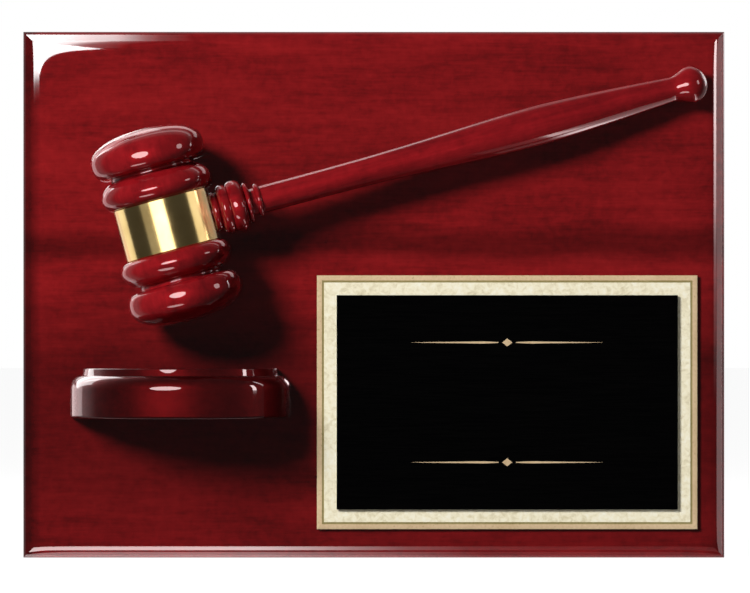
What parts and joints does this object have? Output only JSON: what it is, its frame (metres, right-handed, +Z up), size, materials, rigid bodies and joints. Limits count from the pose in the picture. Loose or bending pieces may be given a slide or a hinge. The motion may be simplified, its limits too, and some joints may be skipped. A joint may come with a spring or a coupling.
{
  "type": "gavel plaque",
  "caption": "Wall plaque: a lacquered rosewood board carrying a turned gavel with a brass band, half a sounding block and a gold-bordered black name plate.",
  "frame": {"origin": "the middle of the board's flat back, where the plaque meets the wall", "axes": "+X along the board's width, to the right of someone facing the plaque; +Z up; +Y into the wall, so the front faces -Y"},
  "size_m": [0.3048, 0.0681, 0.2286],
  "materials": {
    "rosewood_lacquer": "rosewood grain under a deep clear polyester gloss",
    "turned_rosewood": "turned wood stained dark red, high gloss lacquer",
    "polished_brass": "mirror polished and lacquered",
    "florentine_gold": "pale gold with a fine mottled florentine texture",
    "black_lacquer": "black lacquered brass sheet, satin gloss",
    "adhesive_sheet": "translucent double-sided tape",
    "zinc_steel": "bright zinc plate"
  },
  "bodies": {
    "root": {"plaque_board": "rosewood_lacquer", "gavel_head": "turned_rosewood", "gavel_handle": "turned_rosewood", "sound_block": "turned_rosewood", "gavel_band": "polished_brass", "border_plate": "florentine_gold", "engraving_plate": "black_lacquer", "border_tape": "adhesive_sheet", "engraving_tape": "adhesive_sheet", "hanger_plate_left": "zinc_steel", "hanger_plate_right": "zinc_steel", "head_screw_upper": "zinc_steel", "head_screw_lower": "zinc_steel", "knob_screw": "zinc_steel", "block_screw_left": "zinc_steel", "block_screw_right": "zinc_steel", "hanger_screw_left_top": "zinc_steel", "hanger_screw_left_bottom": "zinc_steel", "hanger_screw_right_top": "zinc_steel", "hanger_screw_right_bottom": "zinc_steel"}
  },
  "joints": []
}
